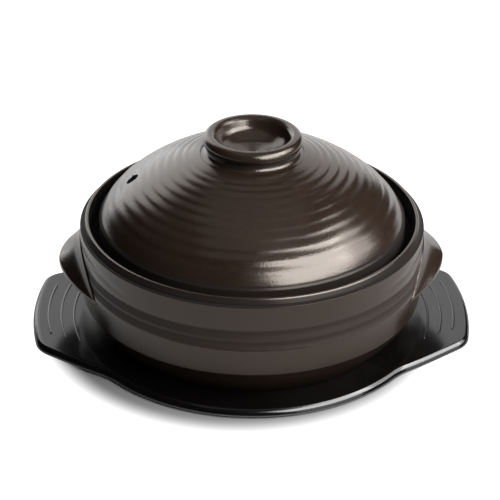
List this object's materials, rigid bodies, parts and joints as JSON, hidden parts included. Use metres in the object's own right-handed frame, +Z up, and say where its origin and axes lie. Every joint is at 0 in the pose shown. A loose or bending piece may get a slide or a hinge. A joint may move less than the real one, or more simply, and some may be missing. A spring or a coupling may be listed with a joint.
{
  "type": "lidded clay casserole on a serving tray",
  "caption": "Round casserole of dark satin-glazed clay with ear lugs and a ringed dome lid with hollow ring knob and steam vent, standing on a black moulded serving tray with ribbed wings.",
  "frame": {"origin": "on the table under the middle of the tray, at the bottom of its foot ring", "axes": "+Z up along the axis of the bowl and the lid, +X to the right along the tray's wings and the bowl's ears, -Y to the front"},
  "size_m": [0.26, 0.211, 0.1235],
  "materials": {
    "brown_glaze": "satin dark brown glaze with a fine grain over fired clay",
    "black_melamine": "glossy black melamine moulding"
  },
  "bodies": {
    "tray": {"tray": "black_melamine"},
    "pot": {"bowl": "brown_glaze", "ear_left": "brown_glaze", "ear_right": "brown_glaze"},
    "lid": {"lid_dome": "brown_glaze", "lid_knob": "brown_glaze"}
  },
  "joints": [
    {"name": "pot_lift", "type": "slide", "parent": "tray", "child": "pot", "axis": [0, 0, 1], "range_m": [0, 0.08]},
    {"name": "lid_lift", "type": "slide", "parent": "pot", "child": "lid", "axis": [0, 0, 1], "range_m": [0, 0.1]}
  ]
}
